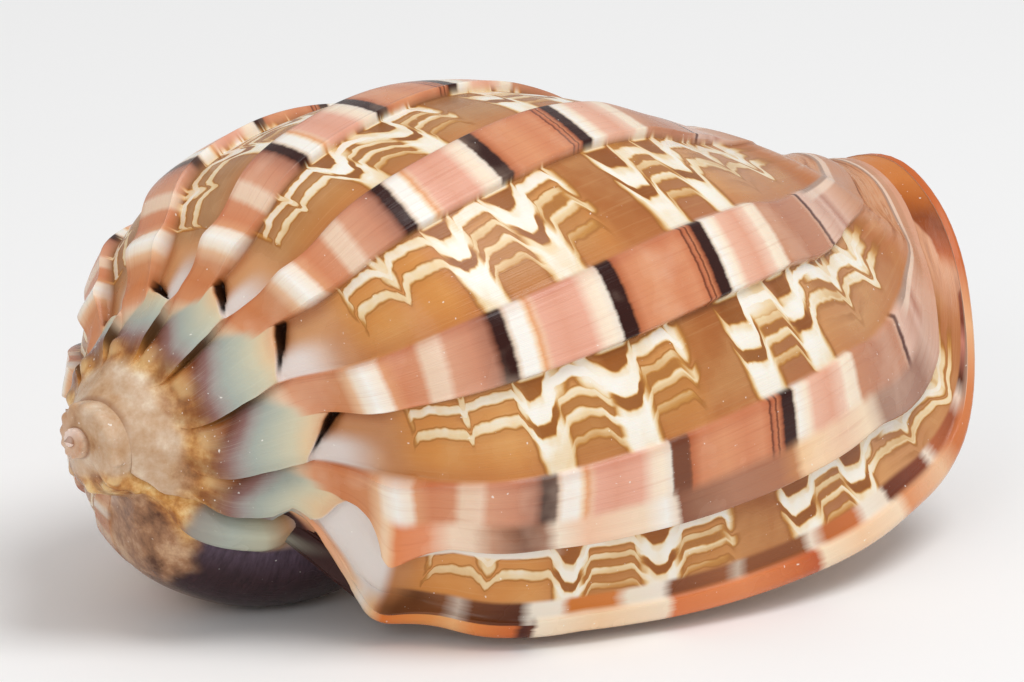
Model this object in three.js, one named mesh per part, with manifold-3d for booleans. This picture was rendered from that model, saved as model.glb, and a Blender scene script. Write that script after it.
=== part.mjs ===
// A harp shell, grown as one piece. Its wall is a spiral sheet that turns round the coil axis and
// grows from the pointed top. The axis lies along X, the growing lip faces -Y and down, and the
// shell rests on its aperture with the round back up. Millimetres, +Z up.
import * as THREE from 'three';
import { mergeVertices } from 'three/addons/utils/BufferGeometryUtils.js';
import Module from 'manifold-3d';

const wasm = await Module();
wasm.setup();

// Spiral growth
const GROWTH_PER_WHORL = 3.0;
const LIP_ANGLE = -26;
const WHORLS = 3;

// Stations of the growing edge at full size: distance along the axis from the top, distance from
// the axis, and how many degrees the edge lies behind the lip angle
const EDGE_STATIONS = [
  [4.1, 3.6, -8.8],
  [9.0, 8.9, -11.7],
  [15.2, 13.0, -6.0],
  [19.9, 18.8, -7.1],
  [25.5, 26.0, -4.9],
  [36.8, 29.5, -1.9],
  [49.2, 30.2, 1.4],
  [60.7, 28.2, 3.8],
  [71.7, 23.2, 8.3],
  [78.2, 15.6, 45],
  [80.0, 8.3, 100],
];
// Places along the edge, from 0 at the suture to 1 at the siphon
const SUTURE = 0.15;
const SHOULDER = 0.3;
// Where the siphon end of the wall meets the axis, and how far the first whorl stands up
const AXIS_END = 76;
const NUCLEUS_DOME = 0.3;

// Ribs: the steps from each rib to the next older one, in degrees round the axis
const RIB_STEPS = [20, 29, 35, 28, 32, 35, 32, 32, 31, 31, 29, 26];
const RIB_HALF_WIDTH = 0.2;
const RIB_EDGE = 0.05;
const RIB_HEIGHT = 0.9;
const SPINE_HEIGHT = 1.6;
const FLAP_HEIGHT = 1.5;
const PIT_DEPTH = 1.2;

// Aperture and wall
const WALL = 1.9;
const COLUMELLA_SLOPE = 0.08;
const HOLLOW_TURN = 235;
const HOLLOW_LEAD = 14;

// The glazed callus pad under the last whorl, at its thickest by the aperture
const PAD_HEIGHT = 5.2;
const PAD_START = 175;
const PAD_FULL = 305;
const RAMP_GLAZE = 2.2;

// The lip's edge past the middle of the last rib, its flare towards the siphon, and the degrees
// by which it draws back where it crosses the ramp
const LIP_COLUMNS = [-5.5, -4, -2];
const LIP_FLARE = 2.3;
const LIP_RETREAT = 11;

// Level of the worn flats that the shell rests on, below the coil axis
const REST_LEVEL = -16.6;

// Place of the top in the finished part, whose origin is under the middle of its box
const TOP_PLACE = [-40.64, 5.93, -REST_LEVEL];

// The grid: columns in each rib's step, rows along the edge, and rows round the hollow
const RADIANS = Math.PI / 180;
const PHASES_IN_RIB = [0, 0.15, 0.22, 0.5, 0.78, 0.85];
const EDGE_ROWS = [
  0, 0.05, 0.1, 0.15, 0.2, 0.245, 0.265, 0.3, 0.335, 0.37, 0.42, 0.47, 0.52, 0.57, 0.62, 0.67, 0.72,
  0.77, 0.81, 0.85, 0.89, 0.93, 0.965, 1,
];
const HOLLOW_ROWS = [0.255, 0.3, 0.36, 0.44, 0.52, 0.6, 0.68, 0.76, 0.84, 0.9, 0.95, 0.985];
const INNER_ROWS = [0.9, 0.8, 0.7, 0.6, 0.55];
const HOLLOW_STEPS = 26;

function smooth(low, high, value) {
  const t = Math.min(Math.max((value - low) / (high - low), 0), 1);
  return t * t * (3 - 2 * t);
}

function bell(centre, width, value) {
  const t = (value - centre) / width;
  return Math.exp(-t * t);
}

// Point of the growing edge for a place along it from 0 (suture) to 1 (siphon), as a smooth curve
function edgeStation(along) {
  const last = EDGE_STATIONS.length - 1;
  const place = Math.min(Math.max(along, 0), 1) * last;
  const index = Math.min(Math.floor(place), last - 1);
  const t = place - index;
  const station = (i) => {
    if (i < 0) return EDGE_STATIONS[0].map((value, k) => 2 * value - EDGE_STATIONS[1][k]);
    if (i > last) return EDGE_STATIONS[last].map((value, k) => 2 * value - EDGE_STATIONS[last - 1][k]);
    return EDGE_STATIONS[i];
  };
  const [a, b, c, d] = [station(index - 1), station(index), station(index + 1), station(index + 2)];
  return b.map((value, k) => {
    const before = 0.5 * (c[k] - a[k]);
    const after = 0.5 * (d[k] - b[k]);
    const rise = c[k] - value;
    return value + t * before + t * t * (3 * rise - 2 * before - after)
      + t * t * t * (before + after - 2 * rise);
  });
}

function growth(turn) {
  return GROWTH_PER_WHORL ** (-turn / 360);
}

function axisPoint(x, radius, angle) {
  const w = (LIP_ANGLE + angle) * RADIANS;
  return new THREE.Vector3(x, -radius * Math.cos(w), radius * Math.sin(w));
}

function smoothPoint(turn, along) {
  const [x, radius, lean] = edgeStation(along);
  const size = growth(turn);
  return axisPoint(x * size, radius * size, turn + lean);
}

// Outward direction of the smooth sheet, from its two tangents
function outward(turn, along) {
  const step = 0.004;
  const low = Math.max(along - step, 0);
  const high = Math.min(along + step, 1);
  const acrossRibs = smoothPoint(turn + 0.5, along).sub(smoothPoint(turn - 0.5, along));
  const alongEdge = smoothPoint(turn, high).sub(smoothPoint(turn, low));
  return alongEdge.cross(acrossRibs).normalize();
}

// Height of ribs, spines, shoulder flaps, pits and callus over the smooth sheet, at full size.
// The phase is 0 at the middle of a rib and grows towards the next older rib.
function relief(turn, along, phase) {
  const fromRib = phase > 0.5 ? phase - 1 : phase;
  const onRib = 1 - smooth(RIB_HALF_WIDTH - RIB_EDGE, RIB_HALF_WIDTH + RIB_EDGE / 2, Math.abs(fromRib));
  const towardsSiphon = smooth(0.8, 1, along);
  const body = smooth(0.22, 0.3, along);
  const rib = RIB_HEIGHT * onRib * body * (1 - 0.6 * towardsSiphon);
  const spine = SPINE_HEIGHT * onRib * bell(SHOULDER, 0.035, along);
  const flapPhase = (RIB_HALF_WIDTH + 1 - phase) % 1;
  const flap = FLAP_HEIGHT * (0.35 + 0.65 * flapPhase) * (1 - body) * smooth(0.03, 0.14, along);
  const between = smooth(RIB_HALF_WIDTH, RIB_HALF_WIDTH + 0.06, Math.abs(fromRib));
  const pit = PIT_DEPTH * between * bell(0.285, 0.025, along);
  const flare = LIP_FLARE * (1 - smooth(-6, 9, turn)) * smooth(0.45, 0.72, along)
    * (1 - 0.8 * smooth(0.85, 1, along));
  const glazed = smooth(235, 300, turn);
  return (rib + spine + flap - pit) * (1 - glazed * (1 - 0.4 * smooth(360, 380, turn))) + flare;
}

// Thickness of the callus in millimetres: the pad, and the glaze over the old ramp
function pad(turn, along) {
  const ramp = RAMP_GLAZE * growth(turn - 300) * smooth(225, 290, turn) * smooth(0, 0.1, along)
    * (1 - smooth(0.2, 0.4, along));
  const underLip = smooth(PAD_FULL, PAD_FULL + 40, turn);
  const from = 0.14 + 0.12 * underLip;
  const to = 0.58 + 0.12 * underLip;
  return ramp + PAD_HEIGHT * smooth(PAD_START, PAD_FULL, turn) * smooth(from, to, along)
    * (1 - 0.5 * underLip) * (1 - 0.85 * smooth(0.72, 1, along)) * (1 + 0.25 * bell(0.72, 0.15, along));
}

// Columns of the grid: six in each rib's step, the same in every whorl
function columns() {
  const list = LIP_COLUMNS.map((turn) => ({ turn, phase: 0 }));
  for (let whorl = 0; whorl < WHORLS; whorl += 1) {
    let start = 360 * whorl;
    for (const step of RIB_STEPS) {
      for (const phase of PHASES_IN_RIB) list.push({ turn: start + phase * step, phase });
      start += step;
    }
  }
  list.push({ turn: 360 * WHORLS, phase: 0 });
  return list;
}

// A point of the grown sheet. Where the next whorl covers the edge of an older ramp, its relief fades out.
function shellPoint(column, along) {
  const retreat = LIP_RETREAT * (1 - smooth(-6, 14, column.turn)) * (1 - smooth(0.17, 0.3, along));
  const turn = column.turn + retreat;
  const tucked = smooth(356, 370, turn) * smooth(0.07, SUTURE, along);
  const height = (relief(turn, along, column.phase) * growth(turn) + pad(turn, along)) * (1 - tucked);
  return smoothPoint(turn, along).addScaledVector(outward(turn, along), height);
}

// The whole shell without its hollow. The last whorl is a full sheet from suture to siphon; older
// whorls show only their ramp, and its outer row is the suture row of the whorl that covers it.
function growSolid() {
  const points = [];
  const triangles = [];
  const add = (point) => points.push(point) - 1;
  const face = (a, b, c) => {
    if (a !== b && b !== c && c !== a) triangles.push([a, b, c]);
  };
  const quad = (a, b, c, d) => {
    face(a, b, c);
    face(a, c, d);
  };
  const grid = columns();
  const perWhorl = RIB_STEPS.length * PHASES_IN_RIB.length;
  const firstRib = LIP_COLUMNS.length;
  const wholeTurn = firstRib + perWhorl;
  const end = grid.length - 1;
  const sutureRow = EDGE_ROWS.indexOf(SUTURE);
  const lastRow = EDGE_ROWS.length - 1;
  const sheet = grid.map((column, i) => EDGE_ROWS.map((along, j) => {
    const covered = i > wholeTurn && j > sutureRow;
    const shared = (i >= wholeTurn && j === sutureRow) || (i < firstRib && j === 0);
    return covered || shared ? null : add(shellPoint(column, along));
  }));
  for (let i = 0; i < firstRib; i += 1) sheet[i][0] = sheet[firstRib][0];
  for (let i = wholeTurn; i <= end; i += 1) sheet[i][sutureRow] = sheet[i - perWhorl][0];
  for (let i = 0; i < end; i += 1) {
    const rows = i < wholeTurn ? lastRow : sutureRow;
    for (let j = 0; j < rows; j += 1) {
      quad(sheet[i][j], sheet[i][j + 1], sheet[i + 1][j + 1], sheet[i + 1][j]);
    }
  }
  // Siphon end: from the last row to the coil axis
  const axis = grid.slice(0, wholeTurn + 1).map(({ turn }) => add(axisPoint(AXIS_END * growth(turn), 0, 0)));
  for (let i = 0; i < wholeTurn; i += 1) {
    quad(sheet[i][lastRow], axis[i], axis[i + 1], sheet[i + 1][lastRow]);
  }
  // Across the aperture: from the lip's edge to the wall of the whorl before
  const lipEdge = sheet[0];
  const wallEdge = EDGE_ROWS.map((along, j) => sheet[wholeTurn][Math.max(j, sutureRow)]);
  for (let j = 0; j < lastRow; j += 1) {
    quad(lipEdge[j], wallEdge[j], wallEdge[j + 1], lipEdge[j + 1]);
  }
  face(lipEdge[lastRow], wallEdge[lastRow], axis[wholeTurn]);
  for (let i = wholeTurn; i > 0; i -= 1) face(lipEdge[lastRow], axis[i], axis[i - 1]);
  // The top: the last ramp's free rows close on one point
  const tip = add(new THREE.Vector3(-NUCLEUS_DOME, 0, 0));
  const rim = [];
  for (let j = sutureRow; j >= 0; j -= 1) rim.push(sheet[end][j]);
  for (let i = end - 1; i >= end - perWhorl; i -= 1) rim.push(sheet[i][0]);
  for (let k = 0; k + 1 < rim.length; k += 1) face(tip, rim[k + 1], rim[k]);
  return { points, triangles };
}

// Outline of the hollow in the plane through the axis: the last whorl's edge set in by the wall,
// then back along the columella and over the whorl before
function hollowOutline() {
  const loop = HOLLOW_ROWS.map((along) => {
    const [, , lean] = edgeStation(along);
    const inside = smoothPoint(0, along).addScaledVector(outward(0, along), -WALL);
    const x = inside.x * growth(-lean);
    return [x, Math.max(Math.hypot(inside.y, inside.z) * growth(-lean), COLUMELLA_SLOPE * x)];
  });
  const wall = INNER_ROWS.map((along) => {
    const [x, radius, lean] = edgeStation(along);
    const size = growth(360 - lean);
    return [x * size, radius * size + pad(360, along)];
  });
  const [siphonX] = loop[loop.length - 1];
  const [wallX] = wall[0];
  for (const part of [0.66, 0.33]) {
    const x = wallX + (siphonX - wallX) * part;
    loop.push([x, COLUMELLA_SLOPE * x]);
  }
  return [...loop, ...wall];
}

function sweepHollow() {
  const points = [];
  const triangles = [];
  const loop = hollowOutline();
  const count = loop.length;
  for (let s = 0; s <= HOLLOW_STEPS; s += 1) {
    const turn = -HOLLOW_LEAD + (HOLLOW_TURN + HOLLOW_LEAD) * s / HOLLOW_STEPS;
    for (const [x, radius] of loop) points.push(axisPoint(x * growth(turn), radius * growth(turn), turn));
  }
  for (let s = 0; s < HOLLOW_STEPS; s += 1) {
    for (let k = 0; k < count; k += 1) {
      const next = (k + 1) % count;
      const [a, b] = [s * count + k, s * count + next];
      triangles.push([a, b, b + count], [a, b + count, a + count]);
    }
  }
  const contour = loop.map(([x, radius]) => new THREE.Vector2(x, radius));
  const lastRing = HOLLOW_STEPS * count;
  for (const [a, b, c] of THREE.ShapeUtils.triangulateShape(contour, [])) {
    const face = [contour[a], contour[b], contour[c]];
    const sameWay = THREE.ShapeUtils.isClockWise(face) === THREE.ShapeUtils.isClockWise(contour);
    const [p, q] = sameWay ? [b, c] : [c, b];
    triangles.push([a, q, p]);
    triangles.push([lastRing + a, lastRing + p, lastRing + q]);
  }
  return { points, triangles };
}

// A block that reaches up to the level of the surface the shell rests on
function blockBelow(level) {
  const size = 200;
  const block = new THREE.BoxGeometry(size, size, size).translate(0, 0, level - size / 2);
  block.deleteAttribute('normal');
  block.deleteAttribute('uv');
  const merged = mergeVertices(block);
  const places = merged.getAttribute('position');
  const points = [];
  for (let i = 0; i < places.count; i += 1) points.push(new THREE.Vector3().fromBufferAttribute(places, i));
  const index = Array.from(merged.index.array);
  const triangles = [];
  for (let i = 0; i < index.length; i += 3) triangles.push(index.slice(i, i + 3));
  return { points, triangles };
}

function toSolid({ points, triangles }) {
  const vertProperties = new Float32Array(points.flatMap((point) => point.toArray()));
  let solid = new wasm.Manifold(new wasm.Mesh({
    numProp: 3, vertProperties, triVerts: new Uint32Array(triangles.flat()),
  }));
  if (solid.volume() < 0) {
    solid = new wasm.Manifold(new wasm.Mesh({
      numProp: 3, vertProperties, triVerts: new Uint32Array(triangles.map(([a, b, c]) => [a, c, b]).flat()),
    }));
  }
  return solid;
}

function toGeometry(solid) {
  const mesh = solid.getMesh();
  const geometry = new THREE.BufferGeometry();
  geometry.setAttribute('position', new THREE.BufferAttribute(mesh.vertProperties.slice(), 3));
  geometry.setIndex(new THREE.BufferAttribute(mesh.triVerts.slice(), 1));
  return geometry;
}

const grown = toSolid(growSolid());
const hollow = toSolid(sweepHollow());
const ground = toSolid(blockBelow(REST_LEVEL));
const body = grown.subtract(hollow).subtract(ground);

const shell = new THREE.Mesh(toGeometry(body), new THREE.MeshStandardMaterial({
  color: 0xd8a078, roughness: 0.3, metalness: 0,
}));
shell.name = 'harp_shell';
shell.position.set(...TOP_PLACE);

const group = new THREE.Group();
group.add(shell);
export default group;
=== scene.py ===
import math

import bpy
import numpy as np
from mathutils import Matrix, Vector, noise


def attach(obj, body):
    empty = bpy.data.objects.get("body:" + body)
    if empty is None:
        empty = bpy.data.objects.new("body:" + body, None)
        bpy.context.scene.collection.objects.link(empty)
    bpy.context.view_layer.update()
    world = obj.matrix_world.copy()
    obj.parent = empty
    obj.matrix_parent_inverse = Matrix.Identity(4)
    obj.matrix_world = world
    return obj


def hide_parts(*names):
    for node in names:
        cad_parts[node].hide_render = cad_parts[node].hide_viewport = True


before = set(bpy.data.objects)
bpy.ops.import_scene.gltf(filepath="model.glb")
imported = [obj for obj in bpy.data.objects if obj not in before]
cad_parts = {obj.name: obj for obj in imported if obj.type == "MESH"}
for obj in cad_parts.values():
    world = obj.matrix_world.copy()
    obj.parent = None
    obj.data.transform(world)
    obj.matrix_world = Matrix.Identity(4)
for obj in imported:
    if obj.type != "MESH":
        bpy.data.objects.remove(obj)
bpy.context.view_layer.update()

scene = bpy.context.scene


# Viewpoint. A long lens well back from the shell, a little above it and on the lip's side, so the
# spire, the ramp and the ribs all show with very little perspective.
VIEW_AZIMUTH = math.radians(-43.32)
VIEW_ELEVATION = math.radians(16.48)
VIEW_ROLL = math.radians(0.93)
VIEW_TARGET = Vector((-0.00007, 0, 0.01811))
VIEW_DISTANCE = 0.644
LENS = 289

across = Vector((math.cos(VIEW_AZIMUTH), math.sin(VIEW_AZIMUTH), 0))
back = Vector((math.sin(VIEW_AZIMUTH) * math.cos(VIEW_ELEVATION),
               -math.cos(VIEW_AZIMUTH) * math.cos(VIEW_ELEVATION),
               math.sin(VIEW_ELEVATION)))
up = back.cross(across)
right = across * math.cos(VIEW_ROLL) + up * math.sin(VIEW_ROLL)
top = up * math.cos(VIEW_ROLL) - across * math.sin(VIEW_ROLL)

lens = bpy.data.cameras.new("long_lens")
lens.lens = LENS
lens.sensor_width = 36
lens.clip_end = 20
camera = bpy.data.objects.new("camera", lens)
camera.matrix_world = Matrix((
    (right.x, top.x, back.x, 0),
    (right.y, top.y, back.y, 0),
    (right.z, top.z, back.z, 0),
    (0, 0, 0, 1),
))
camera.location = VIEW_TARGET + back * VIEW_DISTANCE
scene.collection.objects.link(camera)
scene.camera = camera


# Table and studio light. The shell lies on a pale matt table under a white tent: light comes from
# all round, with one large soft window light above and one weaker one from the side.
TABLE_SIZE = 3.0
TABLE_TONE = (0.94, 0.94, 0.94, 1)
TENT_STRENGTH = 0.56

table_mesh = bpy.data.meshes.new("table")
half = TABLE_SIZE / 2
table_mesh.from_pydata(
    [(-half, -half, 0), (half, -half, 0), (half, half, 0), (-half, half, 0)], [], [(0, 1, 2, 3)])
table = bpy.data.objects.new("table", table_mesh)
scene.collection.objects.link(table)
table.location.z = -0.00005
table_paint = bpy.data.materials.new("pale_matt_table")
table_paint.use_nodes = True
paint = table_paint.node_tree.nodes["Principled BSDF"]
paint.inputs["Base Color"].default_value = TABLE_TONE
paint.inputs["Roughness"].default_value = 0.9
paint.inputs["Specular IOR Level"].default_value = 0.1
table_mesh.materials.append(table_paint)

tent = bpy.data.worlds.new("white_tent")
tent.use_nodes = True
tent.node_tree.nodes["Background"].inputs["Color"].default_value = (1, 1, 1, 1)
tent.node_tree.nodes["Background"].inputs["Strength"].default_value = TENT_STRENGTH
scene.world = tent


def soft_light(name, place, aim, size, power):
    panel = bpy.data.lights.new(name, "AREA")
    panel.shape = "DISK"
    panel.size = size
    panel.energy = power
    lamp = bpy.data.objects.new(name, panel)
    lamp.location = place
    lamp.rotation_euler = (Vector(aim) - Vector(place)).to_track_quat("-Z", "Y").to_euler()
    scene.collection.objects.link(lamp)
    return lamp


soft_light("window_light", (0.1, -0.3, 0.75), (0, 0, 0.02), 0.45, 2.9)
soft_light("side_light", (-0.65, -0.35, 0.35), (0, 0, 0.02), 0.35, 1.0)
scene.view_settings.view_transform = "Standard"


# Growing edge. A harp shell is laid down by the soft edge of the animal, round and round a coil
# axis, and each turn is three times the size of the one before. The edge's outline is given at full
# size in millimetres: how far along the axis, how far from it, and how many degrees it lies behind.
EDGE_STATIONS = np.array([
    (4.1, 3.6, -8.8), (9.0, 8.9, -11.7), (15.2, 13.0, -6.0), (19.9, 18.8, -7.1),
    (25.5, 26.0, -4.9), (36.8, 29.5, -1.9), (49.2, 30.2, 1.4), (60.7, 28.2, 3.8),
    (71.7, 23.2, 8.3), (78.2, 15.6, 45.0), (80.0, 8.3, 100.0),
])
GROWTH_PER_WHORL = 3.0
LIP_ANGLE = -26.0
WHORLS = 3
AXIS_END = 76.0
REST_LEVEL = -16.6
TOP_PLACE = np.array((-40.64, 5.93, -REST_LEVEL))
SUTURE = 0.15


def smooth(low, high, value):
    t = np.clip((value - low) / (high - low), 0, 1)
    return t * t * (3 - 2 * t)


def bell(centre, width, value):
    return np.exp(-((value - centre) / width) ** 2)


def edge_station(along):
    spans = len(EDGE_STATIONS) - 1
    first = 2 * EDGE_STATIONS[0] - EDGE_STATIONS[1]
    last = 2 * EDGE_STATIONS[-1] - EDGE_STATIONS[-2]
    stations = np.vstack([first, EDGE_STATIONS, last])
    place = np.clip(along, 0, 1) * spans
    i = np.minimum(place.astype(int), spans - 1)
    t = (place - i)[..., None]
    a, b, c, d = stations[i], stations[i + 1], stations[i + 2], stations[i + 3]
    before, after, rise = (c - a) / 2, (d - b) / 2, c - b
    return (b + t * before + t ** 2 * (3 * rise - 2 * before - after)
            + t ** 3 * (before + after - 2 * rise))


def growth(turn):
    return GROWTH_PER_WHORL ** (-turn / 360)


def around_axis(x, radius, angle):
    w = np.radians(LIP_ANGLE + angle)
    return np.stack(np.broadcast_arrays(x, -radius * np.cos(w), radius * np.sin(w)), -1)


def spiral(turn, along):
    station = edge_station(along)
    size = growth(turn)
    return around_axis(station[..., 0] * size, station[..., 1] * size, turn + station[..., 2])


def unit(vectors):
    return vectors / np.linalg.norm(vectors, axis=-1, keepdims=True)


def ahead(turn, along):
    return unit(spiral(turn - 0.5, along) - spiral(turn + 0.5, along))


def outward(turn, along):
    step = 0.004
    down_edge = spiral(turn, np.minimum(along + step, 1)) - spiral(turn, np.maximum(along - step, 0))
    return unit(np.cross(down_edge, -ahead(turn, along)))


# Ribs. Each time growth stopped for a while the lip thickened into a rib. The young side of a rib
# is a small cliff, its older side a low step, and the shell between two ribs climbs from the foot
# of the older one to the step of the younger one. Places are counted in ribs back from the lip.
RIB_STEPS = np.array([20, 29, 35, 28, 32, 35, 32, 32, 31, 31, 29, 26])
RIBS_PER_WHORL = len(RIB_STEPS)
RIB_HALF = 0.2
RIB_HEIGHT = 1.0
SPINE_HEIGHT = 1.6
SHOULDER = 0.3


def turn_of(rib):
    starts = np.concatenate([[0], np.cumsum(RIB_STEPS)])
    whorl = np.floor(rib / RIBS_PER_WHORL)
    return 360 * whorl + np.interp(rib - whorl * RIBS_PER_WHORL, np.arange(RIBS_PER_WHORL + 1), starts)


def rib_mask(phase):
    from_rib = np.where(phase > 0.5, phase - 1, phase)
    old_side = 1 - smooth(RIB_HALF - 0.012, RIB_HALF + 0.02, from_rib)
    young_side = smooth(-RIB_HALF - 0.014, -RIB_HALF + 0.006, from_rib)
    return old_side * young_side


def body_height(phase, along, rib):
    from_rib = np.where(phase > 0.5, phase - 1, phase)
    on_rib = rib_mask(phase)
    between = 0.42 * (1 - smooth(0.2, 0.78, phase)) * (1 - on_rib)
    high_back = 0.7 * smooth(3.4, 5.2, rib) * (1 - smooth(8, 10, rib))
    crown = RIB_HEIGHT + high_back - 1.6 * from_rib ** 2 + 0.1 * bell(-RIB_HALF + 0.014, 0.01, from_rib)
    fade = 1 - 0.85 * smooth(0.79, 0.87, along)
    taper = 0.75 + 0.25 * smooth(-RIB_HALF, RIB_HALF, from_rib)
    spine = SPINE_HEIGHT * on_rib * bell(SHOULDER, 0.03, along) * taper
    return (between + crown * on_rib) * fade + spine


# Ramp lobes. Between shoulder and suture every rib spreads into a smooth porcelain lobe. Its young
# edge laps over the lobe of the next younger rib, and where its outer edge stands over the space
# between the ribs there is a dark slit. The lip flares, and a ridge and cords ring the siphon end.
LOBE_EDGE = np.array([  # phase in the rib's step, place of the lobe's outer edge along the growing edge
    (0.00, 0.222), (0.20, 0.199), (0.30, 0.203), (0.40, 0.211), (0.55, 0.222), (0.70, 0.232),
    (0.80, 0.243), (0.90, 0.238), (1.00, 0.222),
])
CREVICE = np.array([  # place along the growing edge, shift of the lapping edge in ribs
    (0.00, 0.0), (0.03, 0.0), (0.075, -0.22), (0.095, -0.17), (0.12, -0.1), (0.145, -0.05), (0.19, -0.03),
    (0.215, 0.0), (1.0, 0.0),
])
LOBE_HEIGHT = 1.45
SLIT_DEPTH = 0.8
LIP_FLARE = 2.3
END_RIDGE, END_GROOVE, CORD_HEIGHT = 0.7, 0.35, 0.2


def lobe_edge(phase, rib):
    return np.interp(phase, LOBE_EDGE[:, 0], LOBE_EDGE[:, 1]) - 0.012 * smooth(3.2, 5.2, rib)


def lobe_height(phase, along):
    behind_lap = (phase - RIB_HALF) % 1
    crown = (1 - behind_lap) ** 1.2 * (0.8 + 0.2 * smooth(0, 0.14, behind_lap))
    lap = 0.4 + LOBE_HEIGHT * crown - 0.35 * bell(1, 0.08, behind_lap)
    return lap * smooth(0.06, 0.12, along)


def relief(turn, along, phase, rib):
    """Height over the plain spiral in full-size millimetres."""
    edge = lobe_edge(phase, rib)
    on_rib = rib_mask(phase)
    soft = 0.004 + 0.03 * on_rib
    outer = smooth(edge - soft, edge + soft, along)
    height = lobe_height(phase, along) * (1 - outer) + body_height(phase, along, rib) * outer
    half_width = 0.002 + 0.005 * smooth(0.4, 0.7, phase)
    slit = bell(edge + half_width, half_width, along) * smooth(0.28, 0.5, phase)
    slit = slit * (1 - smooth(0.77, 0.8, phase)) * smooth(0.99, 1.01, rib)
    height = height - SLIT_DEPTH * slit
    glazed = smooth(235, 300, turn)
    flare = LIP_FLARE * (1 - smooth(-6, 9, turn)) * smooth(0.45, 0.72, along)
    flare = flare * (1 - 0.8 * smooth(0.94, 1, along))
    cords = CORD_HEIGHT * np.cos(2 * np.pi * rib) * smooth(0.86, 0.9, along)
    fasciole = END_RIDGE * bell(0.862, 0.016, along) - END_GROOVE * bell(0.9, 0.02, along) + cords
    return (height + fasciole * smooth(0.6, 1.4, rib)) * (1 - glazed) + flare


# Callus. The animal glazes what lies under its foot: a thick pad under the last whorl that the
# shell rests on, a thin lumpy glaze over the spire and the inner ramp, with knobs and beads, and an
# apron just ahead of the lip where the next lobe begins.
PAD_HEIGHT = 4.2
PAD_START, PAD_FULL = 175, 305
RAMP_GLAZE = 2.2
SUTURE_GLAZE = 0.45
APRON_HEIGHT = 1.7
LUMP_HEIGHT, FINE_LUMP_HEIGHT = 0.3, 0.22
KNOB_HEIGHT = 0.9


def ramp_glaze(turn):
    return RAMP_GLAZE * growth(turn - 300) * smooth(225, 290, turn) * (1 - 0.35 * smooth(430, 620, turn))


def callus(turn, along):
    """Thickness of the callus in millimetres."""
    under_lip = smooth(PAD_FULL, PAD_FULL + 40, turn)
    ramp = ramp_glaze(turn) * smooth(0, 0.1, along) * (1 - smooth(0.2, 0.4, along))
    ramp = ramp * (1 - 0.75 * smooth(245, 280, turn) * smooth(0.12, 0.22, along))
    ramp = ramp * (1 - 0.45 * smooth(225, 260, turn) * (1 - smooth(335, 350, turn)))
    ramp = ramp + SUTURE_GLAZE * ramp_glaze(turn + 360) * (1 - smooth(0.02, 0.1, along))
    apron = smooth(333, 345, turn) * (1 - 1.6 * smooth(349, 359, turn)) * (1 - smooth(0.48, 0.58, along))
    apron = apron * (0.45 * smooth(0.13, 0.18, along) + 0.55 * smooth(0.26, 0.38, along))
    ramp = ramp + APRON_HEIGHT * apron
    pad = (PAD_HEIGHT * smooth(PAD_START, PAD_FULL, turn)
           * smooth(0.14 + 0.12 * under_lip, 0.58 + 0.12 * under_lip, along) * (1 - 0.5 * under_lip)
           * (1 - 0.85 * smooth(0.72, 1, along)) * (1 + 0.25 * bell(0.72, 0.15, along))
           * (1 - 0.7 * smooth(351, 360, turn) * (1 - smooth(0.5, 0.62, along))))
    return ramp + pad


def lumps(points, scale, seed):
    """Smooth lumps between -1 and 1 at points given in millimetres."""
    flat = points.reshape(-1, 3)
    shift = Vector((seed * 7.3, seed * 3.1, seed * 5.7))
    values = [noise.noise(Vector(p) / scale + shift) for p in flat]
    return np.array(values).reshape(points.shape[:-1])


# Shell wall. The grown sheet is a grid of columns (across the ribs) and rows (along the growing
# edge). The last whorl is a full sheet; older whorls show only their ramp, whose outer row is the
# suture row of the whorl that covers it. The lip's edge rolls inwards.
PHASES = np.array([
    0, 0.05, 0.1, 0.14, 0.17, 0.188, 0.2, 0.212, 0.226, 0.25, 0.29, 0.34, 0.39, 0.44, 0.49, 0.54, 0.59,
    0.64, 0.69, 0.73, 0.76, 0.779, 0.788, 0.796, 0.804, 0.813, 0.83, 0.86, 0.9, 0.95,
])
LIP_TURNS = np.array([-1.4, -1.1, -0.7, -0.35])
LIP_ROUND = np.radians([90, 72, 54, 36, 18])
LIP_ROUNDING = 1.3
LIP_FLANK = 0.45
LIP_SHIFT = np.array([  # place along the edge, degrees the lip stands back (minus where it runs ahead)
    (0.0, 0), (0.14, 0), (0.153, 1), (0.165, 6), (0.175, 9), (0.19, 6), (0.2, 3), (0.217, -2), (0.24, -6),
    (0.26, -9), (0.285, -9.5), (0.31, -7.5), (0.35, -4), (0.4, -1.5), (0.45, 0), (1.0, 0),
])
LIP_RIB_EDGE = np.array([  # place along the edge, phase where the lip's rim and its lobe's lap end
    (0.0, 0.2), (0.09, 0.2), (0.11, 0.22), (0.13, 0.27), (0.15, 0.27), (0.165, 0.22), (0.18, 0.18),
    (0.2, 0.15), (0.22, 0.11), (0.25, 0.05), (0.28, 0.03), (1.0, 0.03),
])
WIDE_RIB_EDGE = np.array([  # the youngest full rib is wider: place along the edge, phase of its young side
    (0.0, 0.8), (0.2, 0.8), (0.215, 0.74), (0.232, 0.72), (0.25, 0.63), (0.265, 0.48), (0.28, 0.36),
    (0.295, 0.32), (0.31, 0.38), (0.349, 0.586), (0.42, 0.66), (0.5, 0.64), (0.6, 0.6),
    (0.72, 0.6), (0.78, 0.5),
    (0.82, 0.45), (0.84, 0.54), (0.86, 0.66), (0.88, 0.8), (1.0, 0.8),
])
SWEEP = np.array([  # place along the edge, how many ribs the growth lines sweep on round the siphon end
    (0.0, 0.0), (0.77, 0.0), (0.79, 0.03), (0.81, 0.11), (0.825, 0.22), (0.84, 0.38), (0.855, 0.6),
    (0.87, 0.85), (0.89, 1.2), (0.92, 1.65), (1.0, 2.6),
])
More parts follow.
